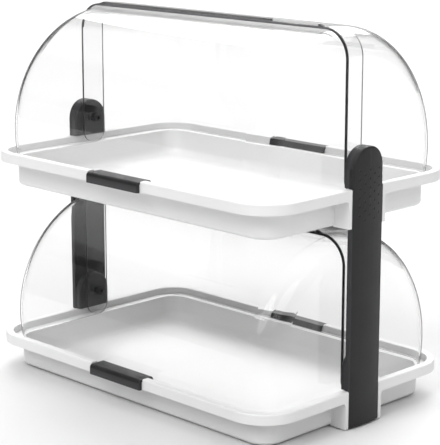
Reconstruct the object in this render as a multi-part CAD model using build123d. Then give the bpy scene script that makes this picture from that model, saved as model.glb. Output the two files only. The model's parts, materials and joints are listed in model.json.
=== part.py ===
from build123d import *
from math import hypot, sqrt
import os

# Countertop bread display bin: two white trays, one above the other, each under a clear roll-top dome.
# Millimetres. X runs along the length, the front is -Y, Z is up and z = 0 is the counter.

# trays
TRAY_LENGTH = 550.0
TRAY_DEPTH = 365.0
TRAY_CORNER_RADIUS = 54.0
TRAY_HEIGHT = 50.0  # rim top down to the underside
TRAY_WALL = 2.5
SKIRT_HEIGHT = 14.0
RIM_WIDTH = 11.0
RIM_OUTER_ROUND = 2.0
RIM_INNER_ROUND = 1.6
LEDGE_DROP = 10.0  # rim top down to the step the covers close on
LEDGE_WIDTH = 16.0
BASIN_ROUND_INSIDE = 12.0
BASIN_ROUND_OUTSIDE = 6.0
TIER_HEADROOM = 13.0  # top of a closed lower dome to the underside of the tray above

# sleeves in the middle of each tray's short sides, one for each post
SLEEVE_HALF_WIDTH = 35.0
SLEEVE_SIDE_WALL = 5.5
SLEEVE_BACK_WALL = 2.5
SLEEVE_POST_CLEARANCE = 0.3
SLEEVE_CORNER_ROUND = 5.0

# covers, all turned about one axis on each tier
PIVOT_ABOVE_RIM = 26.5
COVER_RIM_CLEARANCE = 0.5  # between the rear cover's widest reach and the rim's inner edge
COVER_END_CLEARANCE = 5.2  # between the rear cover's end panels and the pivot blocks
COVER_WALL = 2.5
COVER_GAP = 2.8  # between the rear cover and the front cover inside it
COVER_END_ROUND = 38.0
REAR_COVER_OVERLAP = 19.0  # leading edge in front of the pivot
FRONT_COVER_OVERLAP = 16.0  # trailing edge behind the pivot
COVER_REST_GAP = 0.3  # over the ledge when closed
PANEL_CORNER_ROUND = 17.5
LIP_HEIGHT = 3.5
LIP_WIDTH = 4.0
LIP_RAMP = 18.0  # length over which each end of the lip rises

# grips hooked over the rim
GRIP_LENGTH = 101.0
GRIP_TOP_THICKNESS = 2.8
GRIP_BELOW_RIM = 1.0  # top of the grip, sunk into its seat in the rim
GRIP_RECESS_DEPTH = 4.1
GRIP_RECESS_CLEARANCE = 0.9
GRIP_INNER_CLEARANCE = 0.7  # between the inner leg's back and the edge of its seat in the rim
GRIP_PLATE_OVERLAP = 1.2  # plate over the top of the inner leg
GRIP_LEG_REACH = 6.0  # inner leg's band, in from the cover's outside at the top of the grip
GRIP_OUTER_LEG = 4.0
GRIP_OUTER_CLEARANCE = 0.7
GRIP_OUTER_DROP = 14.8
GRIP_EDGE_ROUND = 5.0
GRIP_END_ROUND = 2.0

# posts
POST_INSET = 7.0  # back plane of a post, in from the tray's end
POST_PROUD = 0.5  # long edges of the outer face, out from the tray's end
POST_CROWN = 3.0  # rise of the outer face between its long edges
POST_HEAD_STEP = 1.2  # head's radius less than the post's half width
POST_HEAD_DROP = 2.5  # centre of the rounded head below the pivot
POST_WALL = 2.6
POST_FACE_ROUND = 2.4
NECK_LENGTH = 10.0  # head width carried down below the rim
SPINE_THICKNESS = 3.0
SPINE_SIDE_CLEARANCE = 0.4

# dimpled patch near the top of each post
DIMPLE_COLUMNS = 5
DIMPLE_ROWS = 6
DIMPLE_COLUMN_PITCH = 9.2
DIMPLE_ROW_PITCH = 11.5
DIMPLE_RADIUS = 3.4
DIMPLE_DEPTH = 0.5
DIMPLE_TOP_ABOVE_RIM = 23.0

# pivots
BLOCK_THICKNESS = 8.8  # inner face in from the post's back plane
BLOCK_RIM_GAP = 0.2
BLOCK_SPINE_GAP = 0.1
BLOCK_EDGE_ROUND = 2.5
BOSS_RADIUS = 7.0
SIDE_PLAY = 0.3
PIN_RADIUS = 4.0
PIN_RUNNING_FIT = 0.06
PIN_HEAD_RADIUS = 5.5
PIN_HEAD_LENGTH = 5.0
PIN_HEAD_ROUND = 1.0
PIN_PAST_NUT = 0.6
PIN_SOCKET_RADIUS = 2.7
PIN_SOCKET_DEPTH = 3.2
NUT_RADIUS = 6.6
NUT_THICKNESS = 3.2
RING_RADIUS = 7.0
RING_PLAY = 0.2
DOWEL_RADIUS = 1.5
DOWEL_SIDE_OFFSET = 15.0
DOWEL_BELOW_PIVOT = 14.0
DOWEL_LENGTH = 8.0

# fixings and feet
SCREW_RADIUS = 1.9
SCREW_HEAD_RADIUS = 3.6
SCREW_HEAD_LENGTH = 2.2
SCREW_HEAD_ROUND = 0.8
SCREW_LENGTH = 5.6
SCREW_SIDE_OFFSET = 14.0
SCREW_BELOW_RIM = 32.0
HOLE_CLEARANCE = 0.1
THREAD_FIT = 0.02
FOOT_RADIUS = 9.0
FOOT_HEIGHT = 2.0
FOOT_INSET_X = 90.0
FOOT_INSET_Y = 77.5

OVERRUN = 1.0  # how far cutting shapes run past the faces they open
PICK = 0.1  # tolerance when choosing edges by position

half_length = TRAY_LENGTH / 2
half_depth = TRAY_DEPTH / 2
ledge_inset = RIM_WIDTH + LEDGE_WIDTH
rim_inner_y = half_depth - RIM_WIDTH

post_back_x = half_length - POST_INSET
post_edge_x = half_length + POST_PROUD
post_crown_x = post_edge_x + POST_CROWN
groove_floor_x = post_back_x - SLEEVE_POST_CLEARANCE
groove_half_width = SLEEVE_HALF_WIDTH - SLEEVE_SIDE_WALL
post_half_width = groove_half_width - SLEEVE_POST_CLEARANCE
post_head_radius = post_half_width - POST_HEAD_STEP
post_face_radius = (post_half_width**2 + POST_CROWN**2) / (2 * POST_CROWN)
block_inner_x = post_back_x - BLOCK_THICKNESS
sleeve_seat_x = groove_floor_x - SLEEVE_BACK_WALL

rear_cover_radius = rim_inner_y - COVER_RIM_CLEARANCE
rear_cover_half_length = block_inner_x - COVER_END_CLEARANCE
front_cover_radius = rear_cover_radius - COVER_WALL - COVER_GAP
front_cover_half_length = rear_cover_half_length - COVER_WALL - COVER_GAP
front_cover_end_round = COVER_END_ROUND - COVER_WALL - COVER_GAP
grip_inner_radius = hypot(rim_inner_y, PIVOT_ABOVE_RIM + GRIP_RECESS_DEPTH) - GRIP_INNER_CLEARANCE

lower_rim = FOOT_HEIGHT + TRAY_HEIGHT
tier_spacing = PIVOT_ABOVE_RIM + rear_cover_radius + LIP_HEIGHT + TIER_HEADROOM + TRAY_HEIGHT
upper_rim = lower_rim + tier_spacing
cover_drop = PIVOT_ABOVE_RIM + LEDGE_DROP - COVER_REST_GAP  # pivot down to the closed covers' edge


def along_x(shape_yz, x0, x1):
    """Sketch drawn with x for Y and y for Z, extruded from x0 to x1."""
    plane = Plane(origin=(x0, 0, 0), x_dir=(0, 1, 0), z_dir=(1, 0, 0))
    return extrude(plane * shape_yz, amount=x1 - x0)


def rod_x(radius, x0, x1, y, z):
    return along_x(Pos(y, z) * Circle(radius), x0, x1)


def tray_slab(inset, z0, z1):
    outline = RectangleRounded(
        TRAY_LENGTH - 2 * inset, TRAY_DEPTH - 2 * inset, TRAY_CORNER_RADIUS - inset
    )
    return Pos(0, 0, z0) * extrude(outline, amount=z1 - z0)


def block(x0, x1, y0, y1, z0, z1):
    return Pos((x0 + x1) / 2, (y0 + y1) / 2, (z0 + z1) / 2) * Box(x1 - x0, y1 - y0, z1 - z0)


def both_ends(shape):
    return shape + mirror(shape, Plane.YZ)


def both_sides(shape):
    return shape + mirror(shape, Plane.XZ)


def tray():
    """One tray with its rim top at z = 0."""
    rim = tray_slab(0, -SKIRT_HEIGHT, 0)
    rim = fillet(rim.edges().group_by(Axis.Z)[-1], RIM_OUTER_ROUND)
    under_rim = tray_slab(TRAY_WALL, -SKIRT_HEIGHT, -TRAY_WALL)
    step = tray_slab(RIM_WIDTH - TRAY_WALL, -LEDGE_DROP - TRAY_WALL, -TRAY_WALL)
    basin = tray_slab(ledge_inset - TRAY_WALL, -TRAY_HEIGHT, -LEDGE_DROP)
    basin = fillet(basin.edges().group_by(Axis.Z)[0], BASIN_ROUND_OUTSIDE)
    basin_void = tray_slab(ledge_inset, TRAY_WALL - TRAY_HEIGHT, 0)
    basin_void = fillet(basin_void.edges().group_by(Axis.Z)[0], BASIN_ROUND_INSIDE)
    cover_space = tray_slab(RIM_WIDTH, -LEDGE_DROP, 0)
    shell = rim - under_rim + step + basin - basin_void - cover_space
    inner_lip = [e for e in shell.edges().filter_by_position(Axis.Z, -PICK, PICK)
                 if abs(e.center().X) < half_length - RIM_WIDTH + PICK
                 and abs(e.center().Y) < half_depth - RIM_WIDTH + PICK]
    shell = fillet(inner_lip, RIM_INNER_ROUND)

    # shallow seats for the grips
    seat_half = GRIP_LENGTH / 2 + GRIP_RECESS_CLEARANCE
    pad = block(-seat_half - TRAY_WALL, seat_half + TRAY_WALL, half_depth - RIM_WIDTH,
                half_depth - TRAY_WALL / 2, -GRIP_RECESS_DEPTH - TRAY_WALL, -TRAY_WALL)
    seat = block(-seat_half, seat_half, half_depth - RIM_WIDTH - OVERRUN, half_depth + OVERRUN,
                 -GRIP_RECESS_DEPTH, OVERRUN)
    shell = shell + both_sides(pad) - both_sides(seat)

    # sleeves for the posts
    sleeve = block(half_length - ledge_inset, half_length, -SLEEVE_HALF_WIDTH, SLEEVE_HALF_WIDTH,
                   -TRAY_HEIGHT, -TRAY_WALL)
    corner = block(half_length - TRAY_WALL, half_length, SLEEVE_HALF_WIDTH,
                   SLEEVE_HALF_WIDTH + SLEEVE_CORNER_ROUND,
                   -SKIRT_HEIGHT - SLEEVE_CORNER_ROUND, -SKIRT_HEIGHT)
    corner -= rod_x(SLEEVE_CORNER_ROUND, half_length - TRAY_WALL - OVERRUN, half_length + OVERRUN,
                    SLEEVE_HALF_WIDTH + SLEEVE_CORNER_ROUND, -SKIRT_HEIGHT - SLEEVE_CORNER_ROUND)
    sleeve_side = SLEEVE_HALF_WIDTH - SLEEVE_SIDE_WALL / 2
    hollow = block(half_length - ledge_inset + TRAY_WALL, sleeve_seat_x, -sleeve_side, sleeve_side,
                   -TRAY_HEIGHT - OVERRUN, -SKIRT_HEIGHT)
    groove = block(groove_floor_x, half_length + OVERRUN, -groove_half_width, groove_half_width,
                   -TRAY_HEIGHT - OVERRUN, OVERRUN)
    screw_hole = rod_x(SCREW_RADIUS + HOLE_CLEARANCE, sleeve_seat_x - OVERRUN, groove_floor_x + OVERRUN,
                       SCREW_SIDE_OFFSET, -SCREW_BELOW_RIM)
    basin_core = tray_slab(ledge_inset - TRAY_WALL / 2, -TRAY_HEIGHT, 0)
    sleeve = sleeve - basin_core - cover_space + both_sides(corner)
    return shell + both_ends(sleeve) - both_ends(hollow + groove + both_sides(screw_hole))


def turned(radius, half, end_round):
    """Solid turned about the pivot axis: a cylinder along X with rounded ends."""
    return revolve(
        Plane.XZ * make_face(
            Polyline((-half, 0), (half, 0), (half, radius - end_round))
            + RadiusArc((half, radius - end_round), (half - end_round, radius), -end_round)
            + Line((half - end_round, radius), (-half + end_round, radius))
            + RadiusArc((-half + end_round, radius), (-half, radius - end_round), -end_round)
            + Line((-half, radius - end_round), (-half, 0))
        ),
        Axis.X, 360,
    )


def closed_region(overlap):
    """What one cover takes up in side view: y is the way it closes, the pivot is the origin."""
    far = 2 * rear_cover_radius
    region = Pos((far - overlap) / 2, (far - cover_drop) / 2) * Rectangle(far + overlap, far + cover_drop)
    return fillet(region.vertices().group_by(Axis.X)[0].group_by(Axis.Y)[0], PANEL_CORNER_ROUND)


def leading_lip(radius, half, overlap):
    """Raised strip along the top of a cover's free edge, between the rounded ends."""
    section = Circle(radius + LIP_HEIGHT) - Circle(radius - COVER_WALL / 2)
    section &= Pos(LIP_WIDTH / 2 - overlap, radius) * Rectangle(LIP_WIDTH, 4 * LIP_HEIGHT)
    low = radius - COVER_WALL / 2
    high = radius + LIP_HEIGHT + OVERRUN
    side_view = Plane.XZ * make_face(
        Polyline((-half, low - LIP_WIDTH), (half, low - LIP_WIDTH), (half, low), (half - LIP_RAMP, high),
                 (LIP_RAMP - half, high), (-half, low), (-half, low - LIP_WIDTH))
    )
    return along_x(section, -half, half) & extrude(side_view, amount=2 * overlap, both=True)


def cover(radius, half, end_round, overlap, lip):
    """A cover that closes towards +Y, about the pivot at the origin."""
    inside = turned(radius - COVER_WALL, half - COVER_WALL, end_round - COVER_WALL)
    shell = turned(radius, half, end_round) - inside
    shell &= along_x(closed_region(overlap), -half - OVERRUN, half + OVERRUN)
    if lip:
        shell += leading_lip(radius, half - end_round, overlap)
    return shell - rod_x(PIN_RADIUS + PIN_RUNNING_FIT, -half - OVERRUN, half + OVERRUN, 0, 0)


def grip(cover_radius):
    """Grip of a cover that closes towards +Y, about the pivot at the origin."""
    rim = -PIVOT_ABOVE_RIM
    top = rim - GRIP_BELOW_RIM
    under = top - GRIP_TOP_THICKNESS
    face = half_depth + GRIP_OUTER_CLEARANCE + GRIP_OUTER_LEG
    leg_start = sqrt(cover_radius**2 - top**2) - GRIP_LEG_REACH
    band = Pos((leg_start + face) / 2, (top - cover_drop) / 2) * Rectangle(face - leg_start, top + cover_drop)
    inner_leg = (Circle(grip_inner_radius) - Circle(cover_radius)) & band
    plate_start = sqrt(grip_inner_radius**2 - under**2) - GRIP_PLATE_OVERLAP
    plate = Pos((plate_start + face) / 2, (top + under) / 2) * Rectangle(
        face - plate_start, GRIP_TOP_THICKNESS
    )
    drop = rim - GRIP_OUTER_DROP
    outer_leg = Pos(face - GRIP_OUTER_LEG / 2, (top + drop) / 2) * Rectangle(GRIP_OUTER_LEG, top - drop)
    profile = inner_leg + plate + outer_leg
    body = along_x(profile, -GRIP_LENGTH / 2, GRIP_LENGTH / 2)
    front_edge = body.edges().filter_by(Axis.X).sort_by(lambda e: -e.center().Y - e.center().Z)[0]
    body = fillet(front_edge, GRIP_EDGE_ROUND)
    ends = [e for e in body.edges().filter_by(Axis.Z) if e.center().Y > face - PICK]
    return fillet(ends, GRIP_END_ROUND)


def post_outline(inset):
    """Side view of the right post, drawn with x for Y and y for Z."""
    half = post_half_width - inset
    low = FOOT_HEIGHT + inset
    shaft = Pos(0, (low + upper_rim) / 2) * Rectangle(2 * half, upper_rim - low)
    head = post_head_radius - inset
    head_centre = upper_rim + PIVOT_ABOVE_RIM - POST_HEAD_DROP
    neck_low = upper_rim - NECK_LENGTH
    neck = Pos(0, (neck_low + head_centre) / 2) * Rectangle(2 * head, head_centre - neck_low)
    return shaft + neck + Pos(0, head_centre) * Circle(head)


def convex_prism(inset):
    """Everything behind the post's convex outer face, moved in by inset."""
    tall = upper_rim + 4 * post_head_radius
    axis_x = post_crown_x - post_face_radius
    return Pos(axis_x, 0, tall / 2) * Cylinder(post_face_radius - inset, tall)


def post_shell():
    front = post_crown_x + OVERRUN
    body = along_x(post_outline(0), post_back_x, front) & convex_prism(0)
    rim_edges = [e for e in body.edges() if e.center().X > post_edge_x - PICK]
    body = fillet(rim_edges, POST_FACE_ROUND)
    body -= along_x(post_outline(POST_WALL), post_back_x - OVERRUN, front) & convex_prism(POST_WALL)
    for column in range(DIMPLE_COLUMNS):
        y = (column - (DIMPLE_COLUMNS - 1) / 2) * DIMPLE_COLUMN_PITCH
        x = post_crown_x - post_face_radius + sqrt(post_face_radius**2 - y**2)
        for row in range(DIMPLE_ROWS):
            z = upper_rim + DIMPLE_TOP_ABOVE_RIM - (row + 0.5 * (column % 2)) * DIMPLE_ROW_PITCH
            body -= Pos(x + DIMPLE_RADIUS - DIMPLE_DEPTH, y, z) * Sphere(DIMPLE_RADIUS)
    return body


def post_spine():
    outline = post_outline(POST_WALL + SPINE_SIDE_CLEARANCE)
    bar = along_x(outline, post_back_x, post_back_x + SPINE_THICKNESS)
    for rim in (lower_rim, upper_rim):
        pivot = rim + PIVOT_ABOVE_RIM
        bar -= rod_x(PIN_RADIUS + HOLE_CLEARANCE, post_back_x - OVERRUN, post_crown_x, 0, pivot)
        for side in (-1, 1):
            bar -= rod_x(SCREW_RADIUS + THREAD_FIT, post_back_x - OVERRUN, post_crown_x,
                         side * SCREW_SIDE_OFFSET, rim - SCREW_BELOW_RIM)
            bar -= rod_x(DOWEL_RADIUS + THREAD_FIT, post_back_x - OVERRUN, post_crown_x,
                         side * DOWEL_SIDE_OFFSET, pivot - DOWEL_BELOW_PIVOT)
    return bar


def pivot_block(rim):
    """Thick post head that stands on a tray rim and carries the pivot pin."""
    pivot = rim + PIVOT_ABOVE_RIM
    low = rim + BLOCK_RIM_GAP
    back = post_back_x - BLOCK_SPINE_GAP
    head_centre = pivot - POST_HEAD_DROP
    top = head_centre + post_head_radius
    outline = Pos(0, head_centre) * Circle(post_head_radius)
    outline += Pos(0, (low + head_centre) / 2) * Rectangle(2 * post_head_radius, head_centre - low)
    outline &= Pos(0, (low + top) / 2) * Rectangle(2 * post_head_radius, top - low)
    body = along_x(outline, block_inner_x, back)
    inner_edges = [e for e in body.edges() if abs(e.center().X - block_inner_x) < PICK
                   and e.center().Z > low + PICK]
    body = fillet(inner_edges, BLOCK_EDGE_ROUND)
    body += rod_x(BOSS_RADIUS, rear_cover_half_length + SIDE_PLAY, block_inner_x + OVERRUN, 0, pivot)
    body -= rod_x(PIN_RADIUS + HOLE_CLEARANCE, rear_cover_half_length, back + OVERRUN, 0, pivot)
    dowel_end = post_back_x + SPINE_THICKNESS - DOWEL_LENGTH
    for side in (-1, 1):
        body -= rod_x(DOWEL_RADIUS + THREAD_FIT, dowel_end, back + OVERRUN,
                      side * DOWEL_SIDE_OFFSET, pivot - DOWEL_BELOW_PIVOT)
    return body


def pivot_pin(rim):
    pivot = rim + PIVOT_ABOVE_RIM
    inner_face = front_cover_half_length - COVER_WALL - SIDE_PLAY
    head_end = inner_face - PIN_HEAD_LENGTH
    nut_start = post_back_x + SPINE_THICKNESS
    head = rod_x(PIN_HEAD_RADIUS, head_end, inner_face, 0, pivot)
    head = fillet(head.edges().group_by(Axis.X)[0], PIN_HEAD_ROUND)
    socket = along_x(Pos(0, pivot) * RegularPolygon(PIN_SOCKET_RADIUS, 6), head_end - OVERRUN,
                     head_end + PIN_SOCKET_DEPTH)
    shaft = rod_x(PIN_RADIUS, inner_face, nut_start + NUT_THICKNESS + PIN_PAST_NUT, 0, pivot)
    return head - socket + shaft


def pivot_nut(rim):
    pivot = rim + PIVOT_ABOVE_RIM
    start = post_back_x + SPINE_THICKNESS
    body = along_x(Pos(0, pivot) * RegularPolygon(NUT_RADIUS, 6), start, start + NUT_THICKNESS)
    return body - rod_x(PIN_RADIUS + THREAD_FIT, start - OVERRUN, start + NUT_THICKNESS + OVERRUN, 0, pivot)


def spacer_ring(rim):
    pivot = rim + PIVOT_ABOVE_RIM
    x0 = front_cover_half_length + RING_PLAY
    x1 = rear_cover_half_length - COVER_WALL - RING_PLAY
    hole = rod_x(PIN_RADIUS + PIN_RUNNING_FIT, x0 - OVERRUN, x1 + OVERRUN, 0, pivot)
    return rod_x(RING_RADIUS, x0, x1, 0, pivot) - hole


def block_dowels(rim):
    z = rim + PIVOT_ABOVE_RIM - DOWEL_BELOW_PIVOT
    x1 = post_back_x + SPINE_THICKNESS
    return [rod_x(DOWEL_RADIUS, x1 - DOWEL_LENGTH, x1, side * DOWEL_SIDE_OFFSET, z) for side in (-1, 1)]


def sleeve_screws(rim):
    z = rim - SCREW_BELOW_RIM
    screws = []
    for y in (-SCREW_SIDE_OFFSET, SCREW_SIDE_OFFSET):
        head = rod_x(SCREW_HEAD_RADIUS, sleeve_seat_x - SCREW_HEAD_LENGTH, sleeve_seat_x, y, z)
        head = fillet(head.edges().group_by(Axis.X)[0], SCREW_HEAD_ROUND)
        screws.append(head + rod_x(SCREW_RADIUS, sleeve_seat_x, sleeve_seat_x + SCREW_LENGTH, y, z))
    return screws


def feet():
    return [
        Pos(x, y, FOOT_HEIGHT / 2) * Cylinder(FOOT_RADIUS, FOOT_HEIGHT)
        for x in (FOOT_INSET_X - half_length, half_length - FOOT_INSET_X)
        for y in (FOOT_INSET_Y - half_depth, half_depth - FOOT_INSET_Y)
    ]


def as_part(shapes):
    if isinstance(shapes, list):
        return Compound(children=shapes)
    return shapes


os.makedirs("parts", exist_ok=True)

nodes = {}
one_tray = tray()
nodes["lower_tray"] = Pos(0, 0, lower_rim) * one_tray
nodes["upper_tray"] = Pos(0, 0, upper_rim) * one_tray
nodes["rubber_feet"] = feet()

rear_cover = cover(rear_cover_radius, rear_cover_half_length, COVER_END_ROUND, REAR_COVER_OVERLAP, True)
front_cover = mirror(
    cover(front_cover_radius, front_cover_half_length, front_cover_end_round, FRONT_COVER_OVERLAP, False),
    Plane.XZ,
)
rear_grip = grip(rear_cover_radius)
front_grip = mirror(grip(front_cover_radius), Plane.XZ)

for tier, rim in (("lower", lower_rim), ("upper", upper_rim)):
    at_pivot = Pos(0, 0, rim + PIVOT_ABOVE_RIM)
    nodes[f"{tier}_rear_cover"] = at_pivot * rear_cover
    nodes[f"{tier}_front_cover"] = at_pivot * front_cover
    nodes[f"{tier}_rear_grip"] = at_pivot * rear_grip
    nodes[f"{tier}_front_grip"] = at_pivot * front_grip

right_pieces = {"post_shell": post_shell(), "post_spine": post_spine()}
for tier, rim in (("lower", lower_rim), ("upper", upper_rim)):
    right_pieces[f"{tier}_pivot_block"] = pivot_block(rim)
    right_pieces[f"{tier}_pivot_pin"] = pivot_pin(rim)
    right_pieces[f"{tier}_pivot_nut"] = pivot_nut(rim)
    right_pieces[f"{tier}_spacer_ring"] = spacer_ring(rim)
    right_pieces[f"{tier}_block_dowels"] = block_dowels(rim)
    right_pieces[f"{tier}_sleeve_screws"] = sleeve_screws(rim)

for name, shape in right_pieces.items():
    nodes[f"right_{name}"] = shape
    if isinstance(shape, list):
        nodes[f"left_{name}"] = [mirror(s, Plane.YZ) for s in shape]
    else:
        nodes[f"left_{name}"] = mirror(shape, Plane.YZ)

for name, shape in nodes.items():
    export_step(as_part(shape), f"parts/{name}.step")
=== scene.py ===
"""Looks of the countertop bread display bin: materials, clear covers, light and camera, in metres."""

import bpy
import json
import math
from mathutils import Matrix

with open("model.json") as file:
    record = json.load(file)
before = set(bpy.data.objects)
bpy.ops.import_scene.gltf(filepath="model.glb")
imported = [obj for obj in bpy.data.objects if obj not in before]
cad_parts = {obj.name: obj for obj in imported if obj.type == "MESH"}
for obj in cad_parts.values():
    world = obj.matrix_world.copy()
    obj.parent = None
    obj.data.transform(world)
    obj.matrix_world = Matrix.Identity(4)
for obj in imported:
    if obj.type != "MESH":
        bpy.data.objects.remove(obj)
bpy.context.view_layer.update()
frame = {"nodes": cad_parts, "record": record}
nodes = frame["nodes"]

# camera fitted to the object's edges
IMAGE_WIDTH = 440
IMAGE_HEIGHT = 445
FOCAL_PIXELS = 1627.69
PRINCIPAL_X = 222.4
PRINCIPAL_Y = 224.77
CAMERA_PLACE = (1.56299, -1.53658, 0.7345)
CAMERA_YAW = 45.19
CAMERA_PITCH = 13.18
SENSOR = 36.0

WHITE = (0.76, 0.76, 0.76, 1)
CHARCOAL = (0.015, 0.015, 0.016, 1)
NYLON = (0.014, 0.014, 0.015, 1)
STEEL = (0.62, 0.61, 0.6, 1)
RUBBER = (0.03, 0.03, 0.03, 1)
FLOOR = (0.73, 0.73, 0.73, 1)
# painted shade for the covers' sawn edges, the borders beside them and the raised strip's ends; also the
# strip's dark tick
PAINTED_EDGE_SHADE = (0.012, 0.012, 0.013, 1)
ACRYLIC_IOR = 1.49
ACRYLIC_GLOSS = (0.25, 0.25, 0.25, 1)
ACRYLIC_LIGHT = (0.965, 0.965, 0.965, 1)  # passed by each face to lamps' rays and bounced light
CLEAR = (0.955, 0.955, 0.955, 1)
BAND_GREY = (0.2, 0.2, 0.2, 1)
SATIN_GLOSS = 0.25

SOFTBOX_EDGE = 37  # degrees above the horizon
SOFTBOX_BLUR = 1.5  # degrees to each side of the edge
SOFTBOX_LIGHT = 0.72
ROOM_LIGHT = 0.1
FLOOR_HALF = 30.0
SUNS = (  # name, elevation, azimuth, angular size, strength
    ("overhead", 84, 215, 30, 0.5),
    ("behind_left", 42, 215, 50, 2.2),
    ("front_fill", 42, 6, 36, 1.5),
    ("right_fill", 36, 72, 36, 0.75),
)

# colour sockets of a Mix node
MIX_A, MIX_B, MIX_RESULT = 6, 7, 2

# covers, in metres: where the sheet, its cut edges and the raised strip are
PIVOTS = {"lower": 0.0785, "upper": 0.3425}
REAR_COVER_RADIUS = 0.171
PANEL_RADIUS = 0.150
LEADING_EDGE_Y = -0.019
TRAILING_EDGE_Y = 0.016
SHOULDER_HEIGHT = 0.133
LABEL_END = 0.1232
STRIP_END = 0.205
TICK_WIDTH = 0.0011
STRIP_MARGIN = 0.0004  # above the sheet's face, where the raised strip counts as begun
REAR_BORDER = 0.0009  # painted shade: dark border behind the rear cover's leading edge
REAR_BORDER_EXTRA = 0.0017  # more of this painted shade above the shoulders and on the +X half
FRONT_BORDER = 0.0011  # painted shade: dark border before the front cover's trailing edge
FRONT_BORDER_DARKNESS = 0.8

# limits that tell a cover's sawn edges from its polished faces, by the unit normal
OFF_SHEET = 0.25  # above this: the square of its part along neither X nor the radius
OFF_PANEL = 0.5  # below this: its part along X

# Layer Weight values between which polished faces turn soft, and the roughness that this adds
GRAZING_START, GRAZING_END = 0.41, 0.58
SOFT_ROUGHNESS = 0.5


# ---------------------------------------------------------------- node helpers
class Shader:
    """Small wrapper that adds nodes to one new material."""

    def __init__(self, name):
        self.material = bpy.data.materials.new(name)
        self.material.use_nodes = True
        self.tree = self.material.node_tree
        self.tree.nodes.clear()
        self.output = self.tree.nodes.new("ShaderNodeOutputMaterial")
        self.place = self.add("ShaderNodeTexCoord").outputs["Object"]

    def add(self, kind, **settings):
        """A new node; a setting is a socket's value, a link from another socket, or a property."""
        node = self.tree.nodes.new(kind)
        for key, value in settings.items():
            if key in node.bl_rna.properties:
                setattr(node, key, value)
                continue
            socket = node.inputs[key.replace("_", " ")]
            if isinstance(value, bpy.types.NodeSocket):
                self.tree.links.new(value, socket)
            else:
                socket.default_value = value
        return node

    def noise(self, scale, detail=2.0, roughness=0.5, stretch=None):
        vector = self.place
        if stretch:
            vector = self.add("ShaderNodeMapping", Vector=vector, Scale=stretch).outputs["Vector"]
        node = self.add("ShaderNodeTexNoise", Vector=vector, Scale=scale, Detail=detail,
                        Roughness=roughness)
        return node.outputs["Fac"]

    def remap(self, value, low, high, start=0.3, end=0.7):
        """The range from start to end stretched to low and high."""
        node = self.add("ShaderNodeMapRange", Value=value)
        node.inputs["From Min"].default_value = start
        node.inputs["From Max"].default_value = end
        node.inputs["To Min"].default_value = low
        node.inputs["To Max"].default_value = high
        return node.outputs["Result"]

    def tint(self, factor, low, high):
        """Colour mix between two plain colours."""
        node = self.add("ShaderNodeMix", data_type="RGBA")
        self.tree.links.new(factor, node.inputs["Factor"])
        node.inputs[MIX_A].default_value = low
        node.inputs[MIX_B].default_value = high
        return node.outputs[MIX_RESULT]

    def blend(self, factor, first, second):
        """Colour mix between two colour sockets."""
        node = self.add("ShaderNodeMix", data_type="RGBA")
        self.tree.links.new(factor, node.inputs["Factor"])
        self.tree.links.new(first, node.inputs[MIX_A])
        self.tree.links.new(second, node.inputs[MIX_B])
        return node.outputs[MIX_RESULT]

    def bump(self, height, strength, distance, normal=None):
        node = self.add("ShaderNodeBump", Height=height, Strength=strength, Distance=distance)
        if normal:
            self.tree.links.new(normal, node.inputs["Normal"])
        return node.outputs["Normal"]

    def colour(self, value):
        node = self.add("ShaderNodeRGB")
        node.outputs[0].default_value = value
        return node.outputs[0]

    def maths(self, operation, first, second=0.0):
        node = self.add("ShaderNodeMath", operation=operation)
        for socket, value in zip(node.inputs, (first, second)):
            if isinstance(value, bpy.types.NodeSocket):
                self.tree.links.new(value, socket)
            else:
                socket.default_value = value
        return node.outputs["Value"]

    def edges(self, start, end):
        """1 on convex edges, 0 on flats and in hollows."""
        pointiness = self.add("ShaderNodeNewGeometry").outputs["Pointiness"]
        return self.remap(pointiness, 0.0, 1.0, start, end)

    def surface(self, shader):
        self.tree.links.new(shader, self.output.inputs["Surface"])
        return self.material


def shade(colour, amount):
    """A colour made lighter or darker."""
    return tuple(min(1.0, c * amount) for c in colour[:3]) + (1,)


# ---------------------------------------------------------------- materials
def moulded_white():
    """Glossy white injection-moulded plastic with faint flow marks and orange peel."""
    s = Shader("moulded_white")
    flow = s.noise(9.0, 3.0, 0.55, (1.0, 2.5, 1.0))
    colour = s.tint(s.remap(flow, 0.0, 1.0), shade(WHITE, 0.985), WHITE)
    rough = s.remap(s.noise(60.0, 4.0, 0.6), 0.34, 0.44)
    peel = s.bump(s.noise(420.0, 2.0), 0.03, 0.0002)
    normal = s.bump(s.noise(2600.0, 1.0), 0.03, 0.0001, peel)
    bsdf = s.add("ShaderNodeBsdfPrincipled", Base_Color=colour, Roughness=rough, Normal=normal)
    bsdf.inputs["IOR"].default_value = 1.5
    return s.surface(bsdf.outputs["BSDF"])


def moulded_charcoal():
    """Dark satin plastic with a fine leather grain and lighter convex edges, partly rubbed wear and partly
    a painted highlight.
    """
    s = Shader("moulded_charcoal")
    mottle = s.tint(s.remap(s.noise(45.0, 4.0, 0.6), 0.0, 1.0),
                    shade(CHARCOAL, 0.85), shade(CHARCOAL, 1.15))
    # lighter convex edges: rubbed wear and a painted edge highlight
    colour = s.blend(s.edges(0.52, 0.60), mottle, s.colour(shade(CHARCOAL, 2.4)))
    rough = s.remap(s.noise(90.0, 3.0, 0.6), 0.36, 0.46)
    grain = s.add("ShaderNodeTexVoronoi", Vector=s.place, Scale=1500.0, feature="SMOOTH_F1")
    grained = s.bump(grain.outputs["Distance"], 0.18, 0.00025)
    normal = s.bump(s.noise(420.0, 2.0), 0.12, 0.0003, grained)
    bsdf = s.add("ShaderNodeBsdfPrincipled", Base_Color=colour, Roughness=rough, Normal=normal)
    bsdf.inputs["Specular IOR Level"].default_value = SATIN_GLOSS
    return s.surface(bsdf.outputs["BSDF"])


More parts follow.
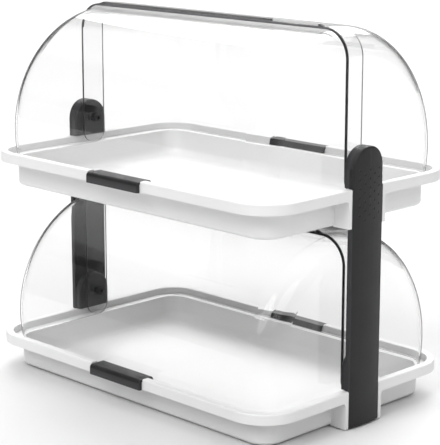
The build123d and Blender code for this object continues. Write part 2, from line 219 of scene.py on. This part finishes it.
def cut_edges(s, pivot):
    """1 on the sawn edges of a cover and 0 on its polished faces, and the distance from the pivot axis."""
    geometry = s.add("ShaderNodeNewGeometry")
    turn = s.add("ShaderNodeVectorTransform", vector_type="NORMAL",
                 convert_from="WORLD", convert_to="OBJECT")
    s.tree.links.new(geometry.outputs["True Normal"], turn.inputs["Vector"])
    centred = s.add("ShaderNodeVectorMath", operation="SUBTRACT")
    s.tree.links.new(s.place, centred.inputs[0])
    centred.inputs[1].default_value = (0, 0, pivot)
    spoke = s.add("ShaderNodeVectorMath", operation="MULTIPLY")
    s.tree.links.new(centred.outputs["Vector"], spoke.inputs[0])
    spoke.inputs[1].default_value = (0, 1, 1)
    radius = s.add("ShaderNodeVectorMath", operation="LENGTH")
    s.tree.links.new(spoke.outputs["Vector"], radius.inputs[0])
    outward = s.add("ShaderNodeVectorMath", operation="NORMALIZE")
    s.tree.links.new(spoke.outputs["Vector"], outward.inputs[0])
    along = s.add("ShaderNodeVectorMath", operation="DOT_PRODUCT")
    s.tree.links.new(turn.outputs["Vector"], along.inputs[0])
    s.tree.links.new(outward.outputs["Vector"], along.inputs[1])
    sideways = s.add("ShaderNodeSeparateXYZ", Vector=turn.outputs["Vector"]).outputs["X"]
    on_faces = s.maths("ADD", s.maths("MULTIPLY", sideways, sideways),
                       s.maths("MULTIPLY", along.outputs["Value"], along.outputs["Value"]))
    off_faces = s.maths("SUBTRACT", 1.0, on_faces)
    sheet_edge = s.maths("GREATER_THAN", off_faces, OFF_SHEET)
    thin = s.maths("LESS_THAN", s.maths("ABSOLUTE", sideways), OFF_PANEL)
    panel_edge = s.maths("MULTIPLY", thin, s.maths("LESS_THAN", radius.outputs["Value"], PANEL_RADIUS))
    return s.maths("MAXIMUM", sheet_edge, panel_edge), radius.outputs["Value"]


def clear_acrylic(tier, cover):
    """Clear polished sheet with painted shade on its sawn edges and beside them; lamps' rays and bounced
    light go straight through.

    Faces seen at a grazing angle reflect more softly; their colour doesn't change.
    """
    s = Shader(f"clear_acrylic_{tier}_{cover}")
    sawn, radius = cut_edges(s, PIVOTS[tier])
    facing = s.add("ShaderNodeLayerWeight", Blend=0.25).outputs["Facing"]
    grazing = s.remap(facing, 0.0, 1.0, GRAZING_START, GRAZING_END)
    clear = s.colour(CLEAR)
    place = s.add("ShaderNodeSeparateXYZ", Vector=s.place)
    across, back, height = (place.outputs[axis] for axis in "XYZ")
    black = s.colour(PAINTED_EDGE_SHADE)

    # painted shade: a dark border next to a sawn edge, wider on the rear cover above the shoulders and on
    # the +X half
    if cover == "rear":
        strip = s.maths("GREATER_THAN", radius, REAR_COVER_RADIUS + STRIP_MARGIN)
        sawn = s.maths("MULTIPLY", sawn, s.maths("SUBTRACT", 1.0, strip))
        thick = s.maths("MAXIMUM", s.maths("GREATER_THAN", across, 0.0),
                        s.maths("GREATER_THAN", height, PIVOTS[tier] + SHOULDER_HEIGHT))
        limit = s.maths("ADD", s.maths("MULTIPLY", thick, REAR_BORDER_EXTRA), LEADING_EDGE_Y + REAR_BORDER)
        border = s.maths("LESS_THAN", back, limit)
        border = s.maths("MULTIPLY", border, s.maths("SUBTRACT", 1.0, strip))
    else:
        border = s.maths("GREATER_THAN", back, TRAILING_EDGE_Y - FRONT_BORDER)
        border = s.maths("MULTIPLY", border, FRONT_BORDER_DARKNESS)
    dark = s.maths("MAXIMUM", sawn, border)

    # raised strip: bare greyed band to its left, a dark tick where the band ends, and painted shade on the
    # strip's ends beyond STRIP_END
    if cover == "rear":
        band = s.maths("MULTIPLY", strip, s.maths("LESS_THAN", across, LABEL_END))
        from_tick = s.maths("ABSOLUTE", s.maths("SUBTRACT", across, LABEL_END))
        tick = s.maths("LESS_THAN", from_tick, TICK_WIDTH)
        ends = s.maths("GREATER_THAN", s.maths("ABSOLUTE", across), STRIP_END)
        clear = s.blend(band, clear, s.colour(BAND_GREY))
        dark = s.maths("MAXIMUM", dark, s.maths("MULTIPLY", strip, s.maths("MAXIMUM", tick, ends)))
    # black where dark is set: painted shade on the sawn edges, the borders beside them and the strip's
    # ends, and the tick
    colour = s.blend(dark, clear, black)

    polish = s.remap(s.noise(35.0, 5.0, 0.65), 0.0, 0.03, 0.45, 0.8)
    soft = s.maths("MULTIPLY", s.maths("MAXIMUM", dark, grazing), SOFT_ROUGHNESS)
    rough = s.maths("ADD", polish, soft)
    wave = s.bump(s.noise(7.0, 1.0), 0.06, 0.0006)
    bsdf = s.add("ShaderNodeBsdfPrincipled", Base_Color=colour, Roughness=rough, Normal=wave)
    bsdf.inputs["IOR"].default_value = ACRYLIC_IOR
    bsdf.inputs["Specular Tint"].default_value = ACRYLIC_GLOSS
    bsdf.inputs["Transmission Weight"].default_value = 1.0
    path = s.add("ShaderNodeLightPath")
    shader = bsdf.outputs["BSDF"]
    for ray in ("Is Diffuse Ray", "Is Shadow Ray"):
        open_way = s.add("ShaderNodeBsdfTransparent")
        open_way.inputs["Color"].default_value = ACRYLIC_LIGHT
        mix = s.add("ShaderNodeMixShader", Fac=path.outputs[ray])
        s.tree.links.new(shader, mix.inputs[1])
        s.tree.links.new(open_way.outputs["BSDF"], mix.inputs[2])
        shader = mix.outputs["Shader"]
    return s.surface(shader)


def plain_steel():
    """Turned and drawn steel with fine lines along its length."""
    s = Shader("plain_steel")
    lines = s.noise(900.0, 3.0, 0.6, (0.05, 1.0, 1.0))
    colour = s.tint(s.remap(lines, 0.0, 1.0), shade(STEEL, 0.85), STEEL)
    rough = s.remap(lines, 0.24, 0.42)
    normal = s.bump(lines, 0.15, 0.0001)
    bsdf = s.add("ShaderNodeBsdfPrincipled", Base_Color=colour, Roughness=rough, Normal=normal)
    bsdf.inputs["Metallic"].default_value = 1.0
    return s.surface(bsdf.outputs["BSDF"])


def black_steel():
    """Powder-coated steel with a fine orange-peel skin."""
    s = Shader("black_steel")
    colour = s.tint(s.remap(s.noise(70.0, 4.0, 0.6), 0.0, 1.0), shade(CHARCOAL, 0.8), CHARCOAL)
    rough = s.remap(s.noise(110.0, 3.0, 0.6), 0.4, 0.52)
    normal = s.bump(s.noise(900.0, 3.0), 0.15, 0.0002)
    bsdf = s.add("ShaderNodeBsdfPrincipled", Base_Color=colour, Roughness=rough, Normal=normal)
    bsdf.inputs["Specular IOR Level"].default_value = SATIN_GLOSS
    return s.surface(bsdf.outputs["BSDF"])


def nylon():
    """Matt black moulded nylon."""
    s = Shader("nylon")
    cloud = s.noise(180.0, 3.0)
    colour = s.tint(s.remap(cloud, 0.0, 1.0), shade(NYLON, 0.94), NYLON)
    rough = s.remap(cloud, 0.42, 0.55)
    normal = s.bump(s.noise(1400.0, 2.0), 0.1, 0.0001)
    bsdf = s.add("ShaderNodeBsdfPrincipled", Base_Color=colour, Roughness=rough, Normal=normal)
    bsdf.inputs["Specular IOR Level"].default_value = SATIN_GLOSS
    return s.surface(bsdf.outputs["BSDF"])


def rubber():
    """Matt rubber with a mottled, grainy face."""
    s = Shader("rubber")
    cloud = s.noise(120.0, 4.0)
    colour = s.tint(s.remap(cloud, 0.0, 1.0), shade(RUBBER, 0.8), shade(RUBBER, 1.4))
    rough = s.remap(cloud, 0.7, 0.85)
    normal = s.bump(s.noise(1600.0, 3.0), 0.25, 0.0002)
    bsdf = s.add("ShaderNodeBsdfPrincipled", Base_Color=colour, Roughness=rough, Normal=normal)
    return s.surface(bsdf.outputs["BSDF"])


def floor_paper():
    """Plain pale paper, nearly even."""
    s = Shader("floor_paper")
    colour = s.tint(s.remap(s.noise(3.0, 2.0), 0.0, 1.0), shade(FLOOR, 0.995), FLOOR)
    bsdf = s.add("ShaderNodeBsdfPrincipled", Base_Color=colour, Roughness=0.9)
    bsdf.inputs["Specular IOR Level"].default_value = 0.1
    return s.surface(bsdf.outputs["BSDF"])


finishes = {
    "white_plastic": moulded_white(),
    "charcoal_plastic": moulded_charcoal(),
    "clear_plastic": {f"{tier}_{cover}_cover": clear_acrylic(tier, cover)
                      for tier in PIVOTS for cover in ("rear", "front")},
    "steel": plain_steel(),
    "black_steel": black_steel(),
    "nylon": nylon(),
    "rubber": rubber(),
}
slot_of = {entry["node"]: entry["material_slot"] for entry in frame["record"]["subparts"]}
for name, obj in nodes.items():
    finish = finishes[slot_of[name]]
    if isinstance(finish, dict):
        finish = finish[name]
    obj.data.materials.clear()
    obj.data.materials.append(finish)


# ---------------------------------------------------------------- stage
def floor():
    mesh = bpy.data.meshes.new("floor")
    corners = [(x * FLOOR_HALF, y * FLOOR_HALF, 0) for x, y in ((-1, -1), (1, -1), (1, 1), (-1, 1))]
    mesh.from_pydata(corners, [], [(0, 1, 2, 3)])
    obj = bpy.data.objects.new("floor", mesh)
    obj.data.materials.append(floor_paper())
    bpy.context.scene.collection.objects.link(obj)


def sky():
    """Bright overhead softbox that ends at SOFTBOX_EDGE above the horizon, dim room below it."""
    world = bpy.data.worlds.new("studio")
    world.use_nodes = True
    tree = world.node_tree
    background = tree.nodes["Background"]
    upward = tree.nodes.new("ShaderNodeSeparateXYZ")
    tree.links.new(tree.nodes.new("ShaderNodeTexCoord").outputs["Generated"], upward.inputs["Vector"])
    softbox = tree.nodes.new("ShaderNodeMapRange")
    tree.links.new(upward.outputs["Z"], softbox.inputs["Value"])
    softbox.inputs["From Min"].default_value = math.sin(math.radians(SOFTBOX_EDGE - SOFTBOX_BLUR))
    softbox.inputs["From Max"].default_value = math.sin(math.radians(SOFTBOX_EDGE + SOFTBOX_BLUR))
    softbox.inputs["To Min"].default_value = ROOM_LIGHT
    softbox.inputs["To Max"].default_value = SOFTBOX_LIGHT
    tree.links.new(softbox.outputs["Result"], background.inputs["Strength"])
    background.inputs["Color"].default_value = (1, 1, 1, 1)
    bpy.context.scene.world = world


def sun(name, elevation, azimuth, angle, strength):
    """Far lamp; azimuth 0 shines from the front, 90 from +X."""
    light = bpy.data.lights.new(name, "SUN")
    light.angle = math.radians(angle)
    light.energy = strength
    obj = bpy.data.objects.new(name, light)
    obj.rotation_euler = (math.radians(90 - elevation), 0, math.radians(azimuth))
    bpy.context.scene.collection.objects.link(obj)


def camera():
    data = bpy.data.cameras.new("camera")
    data.sensor_fit = "HORIZONTAL"
    data.sensor_width = SENSOR
    data.lens = FOCAL_PIXELS * SENSOR / IMAGE_WIDTH
    data.shift_x = (IMAGE_WIDTH / 2 - PRINCIPAL_X) / IMAGE_WIDTH
    data.shift_y = (PRINCIPAL_Y - IMAGE_HEIGHT / 2) / IMAGE_WIDTH
    obj = bpy.data.objects.new("camera", data)
    obj.location = CAMERA_PLACE
    obj.rotation_euler = (math.radians(90 - CAMERA_PITCH), 0, math.radians(CAMERA_YAW))
    bpy.context.scene.collection.objects.link(obj)
    bpy.context.scene.camera = obj


floor()
sky()
for settings in SUNS:
    sun(*settings)
camera()
bpy.context.scene.view_settings.view_transform = "Standard"
bpy.context.scene.cycles.caustics_reflective = False
bpy.context.scene.cycles.caustics_refractive = False
